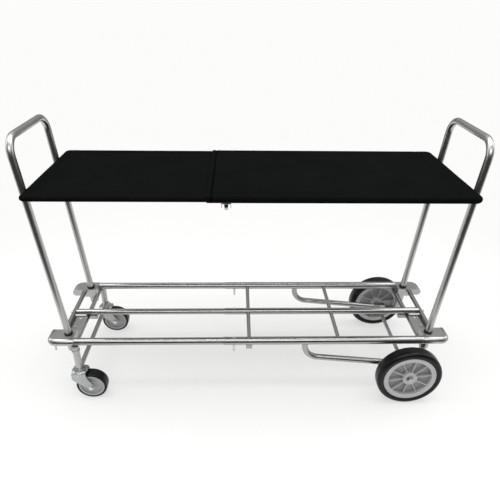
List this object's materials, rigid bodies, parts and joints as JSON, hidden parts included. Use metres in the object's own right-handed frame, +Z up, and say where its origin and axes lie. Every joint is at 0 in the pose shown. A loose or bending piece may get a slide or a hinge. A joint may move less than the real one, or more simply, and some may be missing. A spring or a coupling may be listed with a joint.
{
  "type": "hotel luggage cart",
  "caption": "Telescoping tube luggage cart with large end wheels, swivel casters, a U handle at each end and a fabric deck.",
  "frame": {"origin": "centre of the bounding box at floor level", "axes": "+X toward the big-wheel end, +Y to the cart's left side, +Z up; units metres"},
  "size_m": [1.26, 0.4634, 0.843],
  "materials": {
    "chrome": "polished chrome-plated steel tube",
    "casting": "satin die-cast metal",
    "zinc": "zinc-plated steel",
    "black_metal": "satin black paint",
    "cloth": "tightly woven black fabric, slight sheen",
    "rubber": "matte black rubber",
    "tyre": "solid black rubber tyre",
    "grey_plastic": "moulded light grey plastic",
    "black_plastic": "black plastic"
  },
  "bodies": {
    "frame_rear": {"rail_rear_right": "chrome", "rail_rear_left": "chrome", "rail_rear_mid": "chrome", "bar_middle": "chrome", "bar_rear": "chrome", "cross_rear_in": "chrome", "cross_rear_out": "chrome", "bracket_rear_right": "casting", "bracket_rear_left": "casting", "grommets_rear": "rubber", "plate_rear": "casting", "screws_rear": "zinc", "carrier_right": "chrome", "carrier_left": "chrome", "axle": "zinc", "axle_blocks": "casting", "axle_nuts": "zinc", "handle_rear": "chrome", "deck_frame_rear": "black_metal", "deck_cloth_rear": "cloth", "deck_hooks_rear": "casting", "deck_clamp_right": "zinc", "deck_clamp_left": "zinc", "rail_rivets": "zinc"},
    "frame_front": {"rail_front_right": "chrome", "rail_front_left": "chrome", "rail_front_mid": "chrome", "cross_front_in": "chrome", "cross_front_out": "chrome", "bracket_front_right": "casting", "bracket_front_left": "casting", "grommets_front": "rubber", "plate_front": "casting", "screws_front": "zinc", "stem_right": "zinc", "stem_left": "zinc", "brace_front": "chrome", "handle_front": "chrome", "deck_frame_front": "black_metal", "deck_cloth_front": "cloth", "deck_hooks_front": "casting"},
    "wheel_right": {"hub_right": "grey_plastic", "tyre_right": "tyre"},
    "wheel_left": {"hub_left": "grey_plastic", "tyre_left": "tyre"},
    "rail_lock_right": {"lock_right": "zinc"},
    "rail_lock_left": {"lock_left": "zinc"},
    "deck_screw_right": {"clamp_screw_right": "black_plastic"},
    "deck_screw_left": {"clamp_screw_left": "black_plastic"},
    "caster_fork_right": {"fork_right": "zinc", "caster_axle_right": "zinc"},
    "caster_fork_left": {"fork_left": "zinc", "caster_axle_left": "zinc"},
    "caster_wheel_right": {"caster_hub_right": "grey_plastic", "caster_tyre_right": "tyre"},
    "caster_wheel_left": {"caster_hub_left": "grey_plastic", "caster_tyre_left": "tyre"}
  },
  "joints": [
    {"name": "frame_slide", "type": "slide", "parent": "frame_rear", "child": "frame_front", "axis": [1, 0, 0], "range_m": [0, 0.4]},
    {"name": "wheel_spin_right", "type": "hinge", "parent": "frame_rear", "child": "wheel_right", "pos_m": [0.502, -0.2032, 0.103], "axis": [0, 1, 0], "continuous": true},
    {"name": "wheel_spin_left", "type": "hinge", "parent": "frame_rear", "child": "wheel_left", "pos_m": [0.502, 0.2032, 0.103], "axis": [0, 1, 0], "continuous": true},
    {"name": "rail_lock_turn_right", "type": "hinge", "parent": "frame_rear", "child": "rail_lock_right", "pos_m": [-0.052, -0.156, 0.183], "axis": [0, 0, 1], "range_deg": [0, 540]},
    {"name": "rail_lock_turn_left", "type": "hinge", "parent": "frame_rear", "child": "rail_lock_left", "pos_m": [-0.052, 0.156, 0.183], "axis": [0, 0, 1], "range_deg": [0, 540]},
    {"name": "deck_screw_turn_right", "type": "hinge", "parent": "frame_rear", "child": "deck_screw_right", "pos_m": [-0.07, -0.192, 0.678], "axis": [0, 0, 1], "range_deg": [0, 540]},
    {"name": "deck_screw_turn_left", "type": "hinge", "parent": "frame_rear", "child": "deck_screw_left", "pos_m": [-0.07, 0.192, 0.678], "axis": [0, 0, 1], "range_deg": [0, 540]},
    {"name": "caster_swivel_right", "type": "hinge", "parent": "frame_front", "child": "caster_fork_right", "pos_m": [-0.5405, -0.17, 0.1], "axis": [0, 0, 1], "continuous": true},
    {"name": "caster_swivel_left", "type": "hinge", "parent": "frame_front", "child": "caster_fork_left", "pos_m": [-0.5405, 0.17, 0.1], "axis": [0, 0, 1], "continuous": true},
    {"name": "caster_spin_right", "type": "hinge", "parent": "caster_fork_right", "child": "caster_wheel_right", "pos_m": [-0.508, -0.17, 0.0485], "axis": [0, 1, 0], "continuous": true},
    {"name": "caster_spin_left", "type": "hinge", "parent": "caster_fork_left", "child": "caster_wheel_left", "pos_m": [-0.508, 0.17, 0.0485], "axis": [0, 1, 0], "continuous": true}
  ]
}
